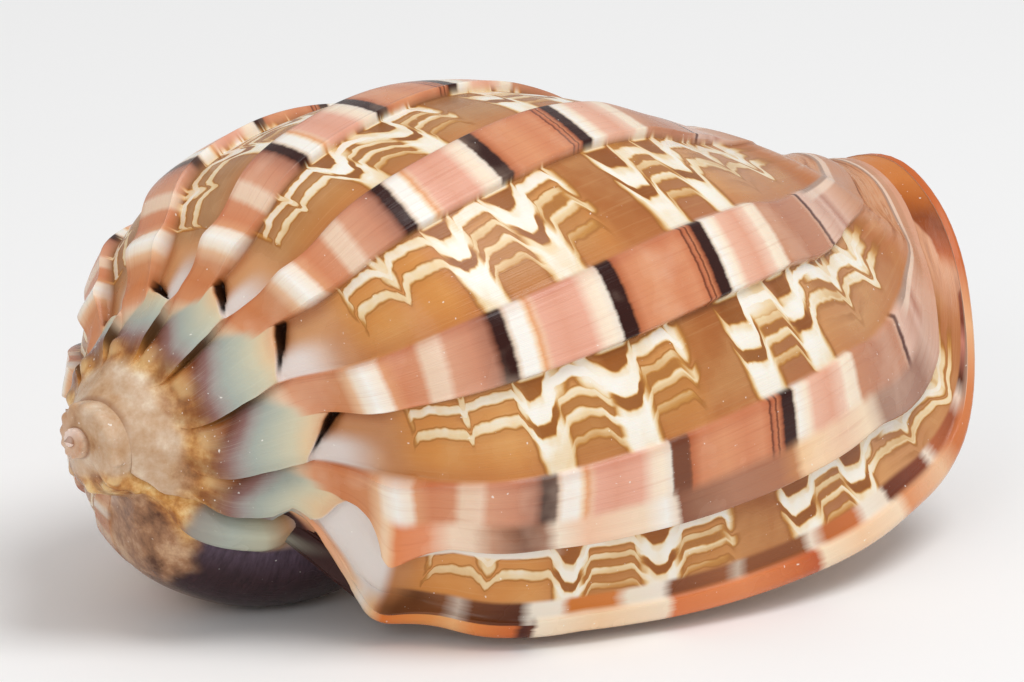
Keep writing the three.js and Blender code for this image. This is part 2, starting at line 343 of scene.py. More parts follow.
LIP_TO_WALL = np.array([  # where the lip's edge faces the wall of the whorl before: places along both
    (0.0, 0.15), (0.08, 0.26), (0.16, 0.36), (0.27, 0.41), (0.33, 0.47), (0.45, 0.58), (1.0, 1.0),
])
ROWS = np.concatenate([
    np.linspace(0, SUTURE, 22), np.linspace(SUTURE, 0.34, 45)[1:], np.linspace(0.34, 1, 90)[1:]])
SUTURE_ROW = 21

per_whorl = RIBS_PER_WHORL * len(PHASES)
rounded = len(LIP_ROUND)
lead_in = rounded + len(LIP_TURNS)
whole_turn = lead_in + per_whorl
ribs = (np.arange(RIBS_PER_WHORL * WHORLS)[:, None] + PHASES).ravel()
ribs = np.append(ribs, RIBS_PER_WHORL * WHORLS)
column_rib = np.concatenate([np.full(rounded, LIP_TURNS[0] / RIB_STEPS[0]), LIP_TURNS / RIB_STEPS[0], ribs])
column_phase = np.concatenate([np.zeros(lead_in), ribs % 1])
count = len(column_rib)

rib_grid, row_grid = np.meshgrid(column_rib, ROWS, indexing="ij")
phase_grid = np.broadcast_to(column_phase[:, None], rib_grid.shape)

# The grid leans with the lobes' lapping edges, with the wide rib, and with the lobes' outer edges
young_side = np.interp(row_grid, WIDE_RIB_EDGE[:, 0], WIDE_RIB_EDGE[:, 1])
first_step = (rib_grid > 0) & (rib_grid < 1)
rim_side = np.interp(row_grid, LIP_RIB_EDGE[:, 0], LIP_RIB_EDGE[:, 1])
widened = np.where(rib_grid < 0.8, rim_side + (rib_grid - 0.2) * (young_side - rim_side) / 0.6,
                   young_side + (rib_grid - 0.8) * (1 - young_side) / 0.2)
widened = np.where(rib_grid < 0.2, rib_grid * rim_side / 0.2, widened)
placed_rib = np.where(first_step, widened, rib_grid)
lean = np.interp(row_grid, CREVICE[:, 0], CREVICE[:, 1])
near_lip = np.where(row_grid < 0.5, smooth(0.85, 1.3, rib_grid), smooth(0.2, 1.0, rib_grid))
placed_rib = placed_rib + lean * near_lip * (1 - smooth(8, 10.5, rib_grid))
placed_rib = np.maximum(placed_rib, 0)
sweep = np.interp(row_grid, SWEEP[:, 0], SWEEP[:, 1]) * (1 - smooth(8, 10.5, rib_grid))
placed_rib = placed_rib ** 2 / np.maximum(placed_rib + sweep, 1e-9)
turn_grid = np.where(rib_grid < 0, rib_grid * RIB_STEPS[0], turn_of(placed_rib))
edge_shift = lobe_edge(phase_grid, rib_grid) - 0.222
bend = smooth(0.155, 0.2, row_grid) * (1 - smooth(0.24, 0.3, row_grid)) * (1 - smooth(8, 10.5, rib_grid))
along_grid = row_grid + edge_shift * bend

shift = np.interp(along_grid, LIP_SHIFT[:, 0], LIP_SHIFT[:, 1])
shift_end = np.where(shift > 0, smooth(-6, 22, turn_grid), smooth(-1, 11, turn_grid))
turn_grid = turn_grid + shift * (1 - shift_end)
tucked = ((1 - SUTURE_GLAZE) * smooth(345, 360, turn_grid) * smooth(0.07, SUTURE, along_grid)
          * (1 - smooth(0.17, 0.26, along_grid)))
base = spiral(turn_grid, along_grid)
out = outward(turn_grid, along_grid)
size = growth(turn_grid)
glaze = np.maximum(1 - smooth(0.07, 0.12, along_grid), smooth(250, 300, turn_grid))
broad = lumps(base, 3.1, 1)
fine = lumps(base, 1.3, 2)
height = (relief(turn_grid, along_grid, phase_grid, rib_grid) * size + callus(turn_grid, along_grid))
height = height * (1 - tucked)
spire = glaze * (1 - smooth(0.2, 0.35, along_grid))
lump = LUMP_HEIGHT * broad + FINE_LUMP_HEIGHT * fine
height = height + spire * lump * np.minimum(size * 2.2, 1) * smooth(0, 0.03, along_grid)
beads = bell(0.09, 0.028, along_grid) * (0.5 + 0.5 * np.cos(2 * np.pi * rib_grid))
beads = beads * smooth(372, 420, turn_grid)
knobs = bell(0.1, 0.016, along_grid) * (0.5 + 0.5 * np.cos(2 * np.pi * (rib_grid - 0.9))) ** 2
knobs = knobs * smooth(40, 90, turn_grid) * (1 - smooth(372, 400, turn_grid))
flank = bell(0.28, 0.022, along_grid) * smooth(-9.5, -7, turn_grid) * (1 - smooth(2, 8, turn_grid))
surface = base + out * (height + size * KNOB_HEIGHT * (beads + knobs) + LIP_FLANK * flank)[..., None]

forward = ahead(turn_grid, along_grid)
roll = (LIP_ROUNDING * (0.12 + 0.28 * smooth(0.145, 0.18, ROWS) + 0.6 * smooth(0.2, 0.26, ROWS)))[:, None]
for i, angle in enumerate(LIP_ROUND):
    surface[i] = (surface[rounded] + forward[rounded] * roll * math.sin(angle)
                  - out[rounded] * roll * (1 - math.cos(angle)))

points = []
numbers = np.full(rib_grid.shape, -1)
for i in range(count):
    for j in range(len(ROWS)):
        covered = i > whole_turn and j > SUTURE_ROW
        shared = (i >= whole_turn and j == SUTURE_ROW) or (i < lead_in and j == 0)
        if not covered and not shared:
            numbers[i, j] = len(points)
            points.append((i, j))
grid_index = np.array(points)
numbers[:lead_in, 0] = numbers[lead_in, 0]
numbers[whole_turn:, SUTURE_ROW] = numbers[whole_turn - per_whorl:count - per_whorl, 0]

wall_points = surface[grid_index[:, 0], grid_index[:, 1]]
faces = []


def add_face(*corners):
    ring = [c for k, c in enumerate(corners) if c != corners[k - 1]]
    if len(ring) > 2:
        faces.append(ring)


last_row = len(ROWS) - 1
for i in range(count - 1):
    for j in range(last_row if i < whole_turn else SUTURE_ROW):
        add_face(numbers[i, j], numbers[i + 1, j], numbers[i + 1, j + 1], numbers[i, j + 1])
# The siphon end closes on the axis, the aperture on the wall of the whorl before, the top on a point
axis_turns = turn_grid[:whole_turn + 1, last_row]
axis_points = around_axis(AXIS_END * growth(axis_turns), np.zeros(whole_turn + 1), np.zeros(whole_turn + 1))
axis_numbers = len(wall_points) + np.arange(whole_turn + 1)
for i in range(whole_turn):
    add_face(numbers[i, last_row], numbers[i + 1, last_row], axis_numbers[i + 1], axis_numbers[i])
j, k = 0, SUTURE_ROW
while j < last_row or k < last_row:
    wanted = np.interp(ROWS[min(j + 1, last_row)], LIP_TO_WALL[:, 0], LIP_TO_WALL[:, 1])
    if j == last_row or (k < last_row and ROWS[k + 1] <= wanted):
        add_face(numbers[0, j], numbers[whole_turn, k + 1], numbers[whole_turn, k])
        k += 1
    else:
        add_face(numbers[0, j], numbers[0, j + 1], numbers[whole_turn, k])
        j += 1
add_face(numbers[0, last_row], axis_numbers[whole_turn], numbers[whole_turn, last_row])
for i in range(whole_turn, 0, -1):
    add_face(numbers[0, last_row], axis_numbers[i - 1], axis_numbers[i])
tip_number = len(wall_points) + len(axis_points)
rim = [numbers[count - 1, j] for j in range(SUTURE_ROW, -1, -1)]
rim += [numbers[i, 0] for i in range(count - 2, count - 2 - per_whorl, -1)]
for a, b in zip(rim, rim[1:]):
    add_face(tip_number, a, b)
all_points = np.vstack([wall_points, axis_points, [(-0.3, 0, 0)]])


def mesh_object(name, points_mm, polygons):
    mesh = bpy.data.meshes.new(name)
    mesh.from_pydata(((points_mm + TOP_PLACE) / 1000).tolist(), [], [[int(n) for n in f] for f in polygons])
    mesh.update()
    thing = bpy.data.objects.new(name, mesh)
    scene.collection.objects.link(thing)
    return thing


def set_values(thing, name, values):
    layer = thing.data.attributes.new(name, "FLOAT", "POINT")
    layer.data.foreach_set("value", np.asarray(values, np.float32))


def signed_volume(points_mm, polygons):
    total = 0
    for ring in polygons:
        a = points_mm[ring[0]]
        for k in range(1, len(ring) - 1):
            total += np.dot(a, np.cross(points_mm[ring[k]], points_mm[ring[k + 1]]))
    return total


if signed_volume(all_points, faces) < 0:
    faces = [ring[::-1] for ring in faces]
shell = mesh_object("shell", all_points, faces)

extra = len(axis_points) + 1
edge_place = lobe_edge(phase_grid, rib_grid)
on_rib_grid = rib_mask(phase_grid)
side = grid_index[:, 0], grid_index[:, 1]
mouth_edge = np.zeros_like(rib_grid)
mouth_edge[:2] = 1
mouth_edge[whole_turn, SUTURE_ROW:] = 1
layers = {
    "rib": rib_grid, "along": along_grid, "turn": turn_grid / 360,
    "rib_mask": on_rib_grid * np.ones_like(rib_grid),
    "past_lobe": along_grid - edge_place,
    "glaze": glaze, "inside": mouth_edge,
}
for name, grid in layers.items():
    filler = 1.0 if name in ("glaze",) else 0.9 if name == "along" else 0.0
    tail = np.full(extra, filler)
    if name in ("rib", "turn"):
        tail[-1] = grid.max()
    if name == "along":
        tail[-1] = 0
    set_values(shell, name, np.concatenate([grid[side], tail]))


# Hollow. The room the animal lived in is the last whorl's outline set in by the wall's thickness,
# swept back round the columella for about two thirds of a turn.
WALL = 1.9
COLUMELLA_SLOPE = 0.08
HOLLOW_TURN = 235
HOLLOW_LEAD = 14
HOLLOW_STEPS = 60
outer_rows = np.concatenate([np.linspace(0.255, 0.84, 34), np.linspace(0.86, 0.985, 10)])
inner_rows = np.linspace(0.9, 0.55, 16)

lean_there = edge_station(outer_rows)[:, 2]
at_lip = np.zeros(len(outer_rows))
set_in = spiral(at_lip, outer_rows) - WALL * outward(at_lip, outer_rows)
outline = []
for (x, y, z), lean in zip(set_in, lean_there):
    grown = growth(-lean)
    outline.append((x * grown, max(math.hypot(y, z) * grown, COLUMELLA_SLOPE * x * grown)))
before = edge_station(inner_rows)
before_size = growth(360 - before[:, 2])
wall_before = list(zip(before[:, 0] * before_size,
                       before[:, 1] * before_size + callus(np.full(len(inner_rows), 360.0), inner_rows)))
for part in (0.8, 0.6, 0.4, 0.2):
    x = wall_before[0][0] + (outline[len(outer_rows) - 1][0] - wall_before[0][0]) * part
    outline.append((x, COLUMELLA_SLOPE * x))
outline += wall_before
outline = np.array(outline)
ring_size = len(outline)
turns = np.linspace(-HOLLOW_LEAD, HOLLOW_TURN, HOLLOW_STEPS + 1)
hollow_points = np.concatenate([
    around_axis(outline[:, 0] * growth(t), outline[:, 1] * growth(t), np.full(ring_size, t))
    for t in turns])
hollow_faces = []
for s in range(HOLLOW_STEPS):
    for k in range(ring_size):
        n = (k + 1) % ring_size
        a, b = s * ring_size, (s + 1) * ring_size
        hollow_faces.append([a + k, a + n, b + n, b + k])
hollow_faces.append(list(range(ring_size - 1, -1, -1)))
hollow_faces.append([HOLLOW_STEPS * ring_size + k for k in range(ring_size)])
if signed_volume(hollow_points, hollow_faces) < 0:
    hollow_faces = [ring[::-1] for ring in hollow_faces]
hollow = mesh_object("hollow", hollow_points, hollow_faces)
for name in layers:
    values = np.full(ring_size, 1.0 if name == "inside" else 0.0)
    if name == "along":
        values = np.concatenate([outer_rows, np.full(4, 0.9), inner_rows - 0.28])
    set_values(hollow, name, np.tile(values, HOLLOW_STEPS + 1))

# The shell wears flat where it touches what it lies on
ground_points = np.array([
    (x, y, z) for x in (-100, 200) for y in (-100, 100) for z in (REST_LEVEL - 60, REST_LEVEL)], float)
ground_faces = [[0, 1, 3, 2], [4, 6, 7, 5], [0, 4, 5, 1], [2, 3, 7, 6], [0, 2, 6, 4], [1, 5, 7, 3]]
ground = mesh_object("ground", ground_points, ground_faces)
for name in layers:
    set_values(ground, name, np.full(8, 1.0 if name == "glaze" else 0.2 if name == "along" else 0.0))

for cutter in (hollow, ground):
    cut = shell.modifiers.new(cutter.name, "BOOLEAN")
    cut.operation = "DIFFERENCE"
    cut.solver = "MANIFOLD"
    cut.object = cutter
finished = bpy.data.meshes.new_from_object(shell.evaluated_get(bpy.context.evaluated_depsgraph_get()))
shell.modifiers.clear()
shell.data = finished
for cutter in (hollow, ground):
    bpy.data.objects.remove(cutter)
for face in finished.polygons:
    face.use_smooth = True
finished.set_sharp_from_angle(angle=math.radians(55))


# Colours. The pattern was laid down with the shell: dark bars, cream and pink sections on the
# ribs, white scalloped lines on gold between them, grey-green porcelain on the lobes, and brown
# to golden callus, all under a natural gloss. Painted shade and painted glints are added in places.
def colour(red, green, blue):
    """A colour given in 0-255 steps, as the shader wants it."""
    steps = [v / 255 for v in (red, green, blue)]
    return tuple(v / 12.92 if v <= 0.04045 else ((v + 0.055) / 1.055) ** 2.4 for v in steps) + (1,)


finish = bpy.data.materials.new("glossy_shell")
finish.use_nodes = True
tree = finish.node_tree
gloss = tree.nodes["Principled BSDF"]


def feed(socket, source):
    if isinstance(source, bpy.types.NodeSocket):
        tree.links.new(source, socket)
    else:
        socket.default_value = source


def layer(name):
    node = tree.nodes.new("ShaderNodeAttribute")
    node.attribute_name = name
    return node.outputs["Fac"]


def calc(kind, a, b=0.0, c=0.0, limited=False):
    node = tree.nodes.new("ShaderNodeMath")
    node.operation = kind
    node.use_clamp = limited
    for socket, source in zip(node.inputs, (a, b, c)):
        feed(socket, source)
    return node.outputs[0]


def plus(a, b):
    return calc("ADD", a, b)


def minus(a, b):
    return calc("SUBTRACT", a, b)


def times(first, *others):
    for other in others:
        first = calc("MULTIPLY", first, other)
    return first


def step(low, high, source):
    node = tree.nodes.new("ShaderNodeMapRange")
    node.interpolation_type = "SMOOTHSTEP"
    feed(node.inputs["Value"], source)
    feed(node.inputs["From Min"], low)
    feed(node.inputs["From Max"], high)
    return node.outputs["Result"]


def scale_to(low, high, to_low, to_high, source):
    node = tree.nodes.new("ShaderNodeMapRange")
    feed(node.inputs["Value"], source)
    for name, number in (("From Min", low), ("From Max", high), ("To Min", to_low), ("To Max", to_high)):
        feed(node.inputs[name], number)
    return node.outputs["Result"]


def mix(share, a, b, kind="MIX"):
    node = tree.nodes.new("ShaderNodeMix")
    node.data_type = "RGBA"
    node.blend_type = kind
    feed(node.inputs[0], share)
    feed(node.inputs[6], a)
    feed(node.inputs[7], b)
    return node.outputs[2]


def ramp(source, low, high, stops, kind="LINEAR"):
    """Colours or numbers at places between low and high."""
    node = tree.nodes.new("ShaderNodeValToRGB")
    node.color_ramp.interpolation = kind
    marks = node.color_ramp.elements
    for place, *value in stops[1:-1]:
        marks.new((place - low) / (high - low))
    for mark, (place, *value) in zip(marks, stops):
        mark.position = (place - low) / (high - low)
        mark.color = colour(*value) if len(value) == 3 else (*value * 3, 1)
    tree.links.new(scale_to(low, high, 0, 1, source), node.inputs["Fac"])
    return node.outputs["Color"]


def vector(x, y, z=0.0):
    node = tree.nodes.new("ShaderNodeCombineXYZ")
    for socket, source in zip(node.inputs, (x, y, z)):
        feed(socket, source)
    return node.outputs[0]


def grain(place, scale, detail=2.0, roughness=0.5):
    node = tree.nodes.new("ShaderNodeTexNoise")
    feed(node.inputs["Vector"], place)
    feed(node.inputs["Scale"], scale)
    feed(node.inputs["Detail"], detail)
    feed(node.inputs["Roughness"], roughness)
    return node.outputs["Fac"]


def around(source, reach):
    """Noise between 0 and 1 turned into a shift of plus or minus reach."""
    return times(minus(source, 0.5), 2 * reach)


rib = layer("rib")
along = layer("along")
turn = layer("turn")
on_rib = layer("rib_mask")
past_lobe = layer("past_lobe")
glazed = layer("glaze")
inside = layer("inside")
place = tree.nodes.new("ShaderNodeTexCoord").outputs["Object"]

rib_number = calc("ROUND", rib)
from_rib = minus(rib, rib_number)
phase = calc("FRACT", rib)
space_number = calc("FLOOR", rib)
# Fine growth lines run along the ribs, so every streak is long that way and thin across
streak = grain(vector(times(rib, 46), times(along, 9)), 1.0, 3.0, 0.6)
fine_streak = grain(vector(times(rib, 120), times(along, 14)), 1.0, 2.0, 0.6)
cloud = grain(place, 160, 3.0, 0.55)
ripple = grain(vector(times(rib, 2.6), times(along, 30), 3.7), 1.0, 3.0, 0.6)
wiggle = grain(vector(times(rib, 7), times(along, 95), 8.1), 1.0, 2.0)
wobble = grain(vector(times(rib, 24), times(along, 8), 5.0), 1.0, 4.0, 0.65)
rib_chance = grain(vector(times(rib_number, 3.71), 0.3, 9.1), 1.0, 0.0)
space_chance = grain(vector(times(space_number, 5.3), times(along, 16), 2.2), 1.0, 1.0)

# Ribs: from the lobe down to the siphon. The bars lean a little, more so near the siphon.
lean_share = plus(times(step(0.32, 0.37, along), 0.023),
                  times(step(0.56, 0.62, along), 0.017))
rib_place = minus(along, times(from_rib, lean_share))
rib_place = plus(rib_place, around(wobble, 0.0022))
rib_place = plus(rib_place, around(rib_chance, 0.004))
PINK = (232, 172, 148)
CREAM = (248, 230, 206)
WHITE = (246, 241, 232)
BAR = (50, 15, 7)
BAR_LINE = (92, 40, 22)
upper_rib = ramp(rib_place, 0.17, 0.46, [
    (0.170, 206, 196, 172), (0.188, 222, 186, 152), (0.204, 212, 142, 98),
    (0.235, 204, 126, 78), (0.268, 212, 142, 96), (0.282, 236, 190, 150),
    (0.289, 246, 228, 206), (0.302, *WHITE), (0.317, 244, 226, 206),
    (0.323, 220, 156, 114), (0.335, 210, 134, 94), (0.352, 214, 144, 106),
    (0.359, 236, 204, 176), (0.374, 238, 206, 180), (0.381, 218, 158, 126),
    (0.400, 206, 142, 112), (0.414, 174, 116, 92), (0.4190, 116, 66, 48),
    (0.4212, *BAR), (0.4300, *BAR), (0.4326, 224, 202, 180), (0.436, *WHITE), (0.446, *WHITE),
    (0.4492, 244, 214, 180), (0.4522, 230, 164, 116), (0.4560, 236, 190, 160),
    (0.460, *PINK),
])
middle_rib = ramp(rib_place, 0.46, 0.63, [
    (0.460, *PINK), (0.474, 226, 162, 136), (0.492, *PINK), (0.502, 246, 222, 198),
    (0.5090, *CREAM), (0.5155, 238, 224, 208), (0.5182, *BAR), (0.5292, *BAR),
    (0.5322, 186, 106, 66), (0.540, 212, 138, 98), (0.560, 220, 150, 108),
    (0.578, 212, 136, 96), (0.592, 216, 144, 104), (0.5995, 204, 124, 84),
    (0.6012, *BAR_LINE), (0.6032, 190, 110, 74), (0.6056, 200, 120, 80),
    (0.6072, *BAR_LINE), (0.6088, 200, 124, 84), (0.6122, 150, 80, 50), (0.6142, *BAR),
    (0.6245, *BAR), (0.6275, 236, 220, 200), (0.630, *WHITE),
])
lower_rib = ramp(rib_place, 0.63, 0.86, [
    (0.630, *WHITE), (0.640, *CREAM), (0.648, 236, 184, 158), (0.668, 228, 166, 138),
    (0.684, 240, 200, 176), (0.690, *CREAM), (0.702, 244, 224, 200),
    (0.708, 200, 136, 100), (0.740, 188, 124, 92), (0.778, 196, 134, 102),
    (0.783, 214, 164, 136), (0.7855, 84, 40, 28), (0.788, 96, 50, 38),
    (0.791, 226, 186, 166), (0.812, 206, 158, 136), (0.820, 222, 180, 160),
    (0.828, 188, 132, 110), (0.838, 222, 178, 154), (0.860, 200, 146, 114),
])
rib_colour = mix(step(0.4595, 0.4605, rib_place), upper_rib, middle_rib)
rib_colour = mix(step(0.6295, 0.6305, rib_place), rib_colour, lower_rib)

# The youngest full rib is wide and its young half is paler, without bars
half_place = plus(along, around(wobble, 0.004))
young_half = ramp(half_place, 0.26, 0.60, [
    (0.260, 220, 150, 104), (0.276, 240, 190, 146), (0.290, 244, 196, 148),
    (0.300, 226, 136, 86), (0.330, 230, 148, 106), (0.350, 244, 216, 190),
    (0.366, 238, 210, 184), (0.382, 190, 138, 108), (0.405, 126, 82, 60),
    (0.420, 150, 104, 80), (0.430, 244, 228, 206), (0.450, 242, 196, 164),
    (0.490, 244, 218, 190), (0.507, *WHITE), (0.5145, 238, 220, 200),
    (0.519, 140, 88, 64), (0.530, 152, 102, 76), (0.560, 176, 122, 94),
    (0.600, 176, 116, 84),
])
young_half_low = ramp(half_place, 0.60, 0.86, [
    (0.600, 176, 116, 84), (0.615, 196, 132, 86), (0.624, 244, 202, 156),
    (0.640, 248, 212, 172), (0.670, 240, 200, 168), (0.700, 246, 220, 188),
    (0.713, 222, 194, 168), (0.725, 166, 122, 98), (0.760, 172, 126, 104),
    (0.790, 160, 112, 90), (0.815, 214, 176, 156), (0.860, 214, 158, 128),
])
young_half = mix(step(0.5995, 0.6005, half_place), young_half, young_half_low)
on_young_half = times(step(0.975, 0.915, plus(rib, around(ripple, 0.02))),
                      step(0.5, 0.6, rib), step(0.27, 0.30, along))
faded_bar = times(step(1.5, 1.4, rib), step(0.516, 0.518, rib_place), step(0.5325, 0.530, rib_place))
rib_colour = mix(times(faded_bar, 0.8), rib_colour, colour(130, 76, 50))
rib_colour = mix(on_young_half, rib_colour, young_half)
rib_colour = mix(times(step(0.5, 0.7, cloud), 0.2), rib_colour, colour(246, 214, 190))
rib_colour = mix(times(step(0.5, 0.75, streak), 0.2), rib_colour, colour(206, 140, 104), "MULTIPLY")
rib_colour = mix(times(step(0.45, 0.8, fine_streak), 0.45), rib_colour, colour(206, 200, 194), "SOFT_LIGHT")
# Painted shade: each rib's older edge, where it steps down, is multiplied towards brown
old_edge_shade = times(step(0.12, 0.2, from_rib), step(0.66, 0.6, along))
rib_colour = mix(times(old_edge_shade, 0.35), rib_colour, colour(206, 150, 120), "MULTIPLY")

# The lip: a narrow rim in orange and cream sections
rim_place = plus(along, around(wobble, 0.004))
rim = ramp(rim_place, 0.16, 0.52, [
    (0.160, 206, 150, 112), (0.200, 230, 162, 118), (0.245, 236, 184, 146),
    (0.262, 240, 204, 168), (0.275, 242, 230, 216), (0.288, 238, 196, 150),
    (0.300, 226, 124, 50), (0.340, 228, 150, 82), (0.358, 236, 178, 120),
    (0.375, 224, 136, 70), (0.402, 206, 108, 52), (0.408, 70, 24, 12),
    (0.4145, 92, 42, 22), (0.419, 246, 230, 206), (0.460, 244, 208, 168),
    (0.506, 246, 226, 200), (0.513, 220, 124, 70), (0.520, 222, 128, 74),
])
rim_low = ramp(rim_place, 0.52, 0.88, [
    (0.520, 222, 128, 74), (0.560, 226, 138, 86), (0.600, 206, 110, 58),
    (0.617, 190, 90, 46), (0.625, 246, 222, 190), (0.660, 242, 200, 160),
    (0.700, 246, 218, 186), (0.712, 224, 148, 98), (0.760, 236, 190, 150),
    (0.785, 204, 118, 68), (0.820, 214, 130, 80), (0.850, 232, 176, 130),
    (0.880, 200, 104, 50),
])
rim = mix(step(0.5195, 0.5205, rim_place), rim, rim_low)
rib_colour = mix(step(0.5, 0.4, rib), rib_colour, rim)
end_line = times(step(0.155, 0.175, from_rib), step(0.80, 0.82, along))
beside_line = times(step(0.08, 0.11, from_rib), step(0.80, 0.82, along))
rib_colour = mix(times(beside_line, 0.7), rib_colour, colour(242, 216, 194))
rib_colour = mix(times(end_line, 0.6), rib_colour, colour(110, 70, 54))

# Spaces between the ribs: nested white scallops that drop into bowls beside the ribs' white bands
fall = calc("DIVIDE", minus(0.8, phase), 0.6)
space_place = plus(along, around(ripple, 0.005))
space_place = plus(space_place, around(wiggle, 0.0007))
space_place = plus(space_place, around(space_chance, 0.005))
drop_even = ramp(space_place, 0.30, 0.88, [
    (0.300, 0.9), (0.322, 0.8), (0.326, 0.3), (0.331, 0.02), (0.364, 0.02), (0.371, 0.2), (0.3775, 0.45),
    (0.384, 0.15), (0.390, 0.0), (0.423, 0.02), (0.429, 0.5), (0.436, 0.96), (0.443, 1.0), (0.450, 0.55),
    (0.457, 0.05), (0.484, 0.05), (0.492, 0.5), (0.501, 0.97), (0.507, 1.0), (0.515, 0.6), (0.523, 0.04),
    (0.553, 0.03), (0.560, 0.4), (0.575, 0.2), (0.603, 0.2), (0.613, 0.95), (0.628, 1.0), (0.638, 0.15),
    (0.664, 0.12), (0.675, 0.95), (0.690, 1.0), (0.702, 0.3),
], "EASE")
drop_odd = ramp(space_place, 0.30, 0.88, [
    (0.300, 0.9), (0.318, 0.8), (0.324, 0.25), (0.330, 0.1), (0.352, 0.06), (0.3715, 0.12), (0.376, 0.4),
    (0.380, 0.1), (0.420, 0.06), (0.4255, 0.5), (0.431, 0.98), (0.440, 0.92), (0.447, 0.5), (0.453, 0.2),
    (0.468, 0.1), (0.480, 0.25), (0.489, 0.65), (0.500, 1.0), (0.509, 0.95), (0.515, 0.5), (0.520, 0.08),
    (0.550, 0.05), (0.558, 0.5), (0.573, 0.15), (0.600, 0.2), (0.608, 0.9), (0.626, 1.0), (0.633, 0.25),
    (0.662, 0.2), (0.670, 0.9), (0.688, 1.0), (0.701, 0.45),
], "EASE")
drop_far = ramp(space_place, 0.70, 0.88, [
    (0.700, 0.4), (0.712, 0.1), (0.733, 0.0), (0.750, 0.15), (0.757, 0.5), (0.764, 0.2), (0.778, 0.05),
    (0.796, 0.2), (0.808, 0.8), (0.818, 0.3), (0.840, 0.1), (0.880, 0.3),
], "EASE")
odd = calc("MODULO", space_number, 2.0)
drop = mix(odd, drop_even, drop_odd)
drop = mix(step(0.6995, 0.7005, space_place), drop, drop_far)
level = minus(fall, times(drop, scale_to(0.35, 0.65, 0.28, 0.46, space_chance)))
level = plus(level, around(ripple, 0.09))
level = plus(level, around(wiggle, 0.012))
level = plus(level, around(space_chance, 0.07))
few_lines = ramp(level, -0.4, 1.0, [
    (-0.4, 0.0), (0.0, 0.0), (0.05, 0.95), (0.12, 0.97), (0.18, 0.12), (0.29, 0.05), (0.35, 0.85),
    (0.42, 0.8), (0.48, 0.14), (0.6, 0.05), (1.0, 0.0),
], "EASE")
many_lines = ramp(level, -0.4, 1.0, [
    (-0.4, 0.0), (-0.02, 0.0), (0.03, 0.95), (0.11, 0.97), (0.16, 0.12), (0.21, 0.08), (0.25, 0.85),
    (0.29, 0.8), (0.34, 0.12), (0.40, 0.1), (0.44, 0.8), (0.48, 0.72), (0.53, 0.12), (0.60, 0.1),
    (0.64, 0.6), (0.68, 0.5), (0.74, 0.08), (1.0, 0.0),
], "EASE")
bowls = ramp(level, -0.4, 1.0, [
    (-0.4, 0.0), (-0.12, 0.0), (-0.05, 0.9), (0.02, 1.0), (0.16, 1.0), (0.21, 0.1), (0.28, 0.05),
    (0.34, 0.9), (0.42, 1.0), (0.58, 1.0), (0.68, 0.9), (1.0, 0.95),
], "EASE")
in_bowl = ramp(space_place, 0.30, 0.88, [
    (0.300, 0.0), (0.424, 0.0), (0.430, 0.9), (0.447, 0.9), (0.452, 0.1), (0.488, 0.1), (0.494, 0.9),
    (0.513, 1.0), (0.519, 0.1), (0.600, 0.0), (0.609, 0.9), (0.630, 0.9), (0.636, 0.1), (0.666, 0.1),
    (0.673, 0.9), (0.692, 0.9), (0.700, 0.0), (0.880, 0.0),
])
dense = ramp(space_place, 0.30, 0.88, [
    (0.300, 0.0), (0.440, 0.0), (0.450, 1.0), (0.490, 1.0), (0.515, 0.9), (0.550, 0.8), (0.560, 0.0),
    (0.620, 0.0), (0.635, 0.9), (0.670, 0.9), (0.700, 0.0), (0.745, 0.3), (0.800, 0.0), (0.880, 0.3),
])
plain = ramp(space_place, 0.30, 0.88, [
    (0.300, 1.0), (0.320, 0.95), (0.328, 0.1), (0.558, 0.0), (0.566, 0.9), (0.602, 0.9), (0.609, 0.0),
    (0.822, 0.0), (0.845, 0.8), (0.880, 0.8),
])
leg = times(drop, minus(1.0, drop), 4.0)
leg = times(step(0.25, 0.8, leg), step(-0.17, -0.09, level), step(0.32, 0.2, level))
lines = mix(dense, few_lines, many_lines)
lines = calc("MAXIMUM", lines, times(leg, 0.85))
lines = times(lines, minus(1.0, plain))
lines = mix(in_bowl, lines, bowls)
broad = times(step(0.15, 0.2, plus(level, 0.13)), step(0.33, 0.26, plus(level, 0.07)),
              step(0.705, 0.735, space_place), step(0.83, 0.80, space_place))
lines = calc("MAXIMUM", lines, times(broad, step(2.3, 1.9, rib), 0.95))
lines = times(lines, scale_to(0.35, 0.65, 0.78, 1.0, ripple))
rib_touch = times(in_bowl, step(0.07, 0.02, fall))
lines = calc("MAXIMUM", lines, times(rib_touch, 0.8))

ground = ramp(space_place, 0.30, 0.88, [
    (0.300, 202, 142, 84), (0.325, 206, 142, 76), (0.345, 212, 146, 76),
    (0.377, 206, 140, 74), (0.410, 212, 148, 80), (0.432, 186, 114, 48),
    (0.446, 190, 118, 50), (0.456, 204, 144, 84), (0.486, 204, 146, 88),
    (0.495, 184, 112, 48), (0.514, 188, 116, 52), (0.524, 208, 146, 82),
    (0.552, 206, 142, 78), (0.566, 176, 110, 58), (0.600, 168, 104, 56),
    (0.610, 160, 90, 36), (0.632, 164, 94, 44), (0.640, 184, 130, 98),
    (0.664, 182, 128, 96), (0.674, 150, 86, 38), (0.692, 166, 102, 54),
    (0.702, 204, 148, 96), (0.755, 196, 142, 96), (0.810, 192, 136, 92),
    (0.840, 180, 116, 72), (0.880, 196, 126, 76),
])
ground = mix(0.22, ground, colour(255, 212, 150), "MULTIPLY")
ground = mix(times(step(0.35, 0.7, cloud), 0.35), ground, colour(224, 176, 118))
ground = mix(times(step(2.7, 4.0, rib), 0.75), ground,
             mix(step(0.35, 0.7, cloud), colour(152, 112, 78), colour(184, 146, 110)))
ground = mix(times(step(0.68, 1.0, fall), 0.5), ground, colour(190, 116, 64))
# Painted shade: brown at the foot of each older rib's young cliff
ground = mix(times(step(0.09, 0.0, fall), 0.6), ground, colour(128, 70, 28))
